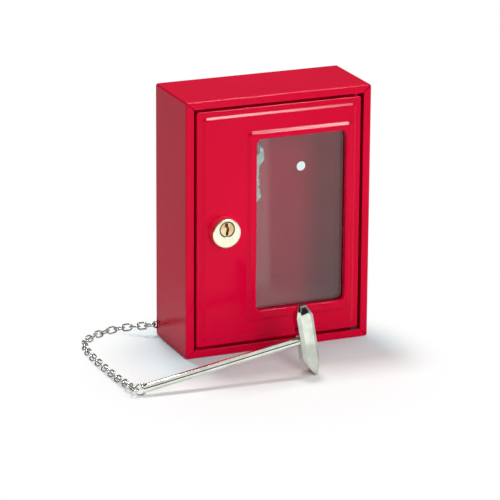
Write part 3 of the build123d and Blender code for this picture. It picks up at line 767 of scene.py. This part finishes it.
# ---------------------------------------------------------------- floor, light and camera
def light_path(nodes, *names):
    """Which kinds of ray look: 1 for a ray of that kind and 0 otherwise."""
    path = nodes.tree.nodes.new("ShaderNodeLightPath")
    return [Tone(nodes, path.outputs[f"Is {name} Ray"]) for name in names]


shadow_middle = (-0.02, -0.055)  # between the box and the hammer
shadow_radius = 0.075  # the floor keeps its shadows this far round
fade_radius = 0.12  # and is plain white past this
case_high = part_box("case_shell")[1]
tint_reach = 0.05  # the floor is a cooler white this near the box, which throws red light on it


def floor_white():
    """Pale floor that keeps the shadows near the box and is white further out."""
    f = Finish("white floor")
    x, y, _ = f.xyz()
    aside = x - shadow_middle[0]
    ahead = y - shadow_middle[1]
    away = (aside * aside + ahead * ahead).root().band(shadow_radius, fade_radius)
    beside = (x.size() - case_high.x).most(0.0)
    before = (y.size() - case_high.y).most(0.0)
    near = 1 - (beside * beside + before * before).root().band(0.0, tint_reach)
    camera, glossy, through = light_path(f, "Camera", "Glossy", "Transmission")
    seen = camera.most(glossy).most(through)
    # painted reflection: the floor's glow, seen only by glossy and transmission rays, is brighter in
    # front and in a strip to the left, so the window glass and bright metal mirror a light veil and a
    # light strip
    painted_reflection_strip = 1 - (x + (y + 0.025) * 0.423).band(-0.006, -0.002)  # brighter left of this line
    reflection_glow = 0.6 + (1 - y.band(-0.1, 0.15)) * (0.25 + painted_reflection_strip * 0.5)  # brighter in front
    paper = f.add("ShaderNodeBsdfDiffuse", {}, {
        "Color": f.blend(near, (0.97, 0.98, 0.98, 1), (0.78, 0.95, 0.98, 1)),
    })
    white = f.add("ShaderNodeEmission", {}, {
        "Color": camera + through + (1 - camera - through) * reflection_glow, "Strength": 1.0,
    })
    return f.done(f.add("ShaderNodeMixShader", {}, [away * seen, paper, white]))


floor_size = 12
bpy.ops.mesh.primitive_plane_add(size=floor_size)
floor = bpy.context.object
floor.name = "floor"
floor.data.materials.append(floor_white())


def studio_sky():
    """A ceiling that is brighter on the right, over dark walls, and plain white to the camera."""
    world = bpy.data.worlds.new("studio")
    bpy.context.scene.world = world
    world.use_nodes = True
    s = Nodes(world.node_tree)
    way = s.add("ShaderNodeTexCoord", {}, {}, "Generated")
    x, y, z = (s.add("ShaderNodeSeparateXYZ", {}, [way], axis) for axis in range(3))
    ceiling = z.band(0.3, 0.62) * (0.14 + x.band(-0.5, 0.3) * 0.72)
    wall = 0.03 + y.band(-0.2, 0.6) * 0.06 + x.band(0.55, 0.95) * 0.3
    (camera,) = light_path(s, "Camera")
    sky = s.add("ShaderNodeBackground", {}, {
        "Color": ceiling.most(wall).most(camera), "Strength": 1.0,
    })
    output = s.tree.nodes.new("ShaderNodeOutputWorld")
    s.tree.links.new(sky.socket, output.inputs["Surface"])


studio_sky()


def softbox(name, place, target, size, power, tall=None):
    """A rectangular area light at place that faces target."""
    data = bpy.data.lights.new(name, "AREA")
    data.shape = "RECTANGLE"
    data.size = size
    data.size_y = tall or size
    data.energy = power
    lamp = bpy.data.objects.new(name, data)
    lamp.location = place
    lamp.rotation_euler = (Vector(target) - Vector(place)).to_track_quat("-Z", "Y").to_euler()
    bpy.context.collection.objects.link(lamp)
    return lamp


box_middle = (0, 0, 0.08)
softbox("ceiling key", (-0.05, 0.36, 1.3), (0, 0, 0.05), 0.26, 8.0)
softbox("near fill", (-0.30, -0.60, 0.30), box_middle, 0.3, 0.25)
front_key = softbox("front key", (0.05, -1.5, 0.6), box_middle, 0.5, 9.3)
front_key.visible_glossy = False  # bright metal shows the dark room in front instead
glint = softbox("glint", (0.56, -0.80, 1.24), box_middle, 0.3, 22, 0.15)
glint.visible_diffuse = False  # it only shows as a highlight

camera_place = (-0.7432924, -1.7365953, 0.6573736)
yaw, pitch, roll = radians(-22.943608), radians(-17.686945), radians(-0.367606)
turn = Matrix.Rotation(yaw, 3, "Z") @ Matrix.Rotation(pitch, 3, "X") @ Matrix.Rotation(roll, 3, "Y")
right, ahead, up = turn.col
lens = bpy.data.cameras.new("camera")
lens.sensor_width = 36
lens.lens = 233.9455
lens.clip_end = 50
camera = bpy.data.objects.new("camera", lens)
camera.matrix_world = Matrix.LocRotScale(
    camera_place, Matrix((right, up, -ahead)).transposed(), None
)
bpy.context.collection.objects.link(camera)
bpy.context.scene.camera = camera
bpy.context.scene.view_settings.view_transform = "Standard"
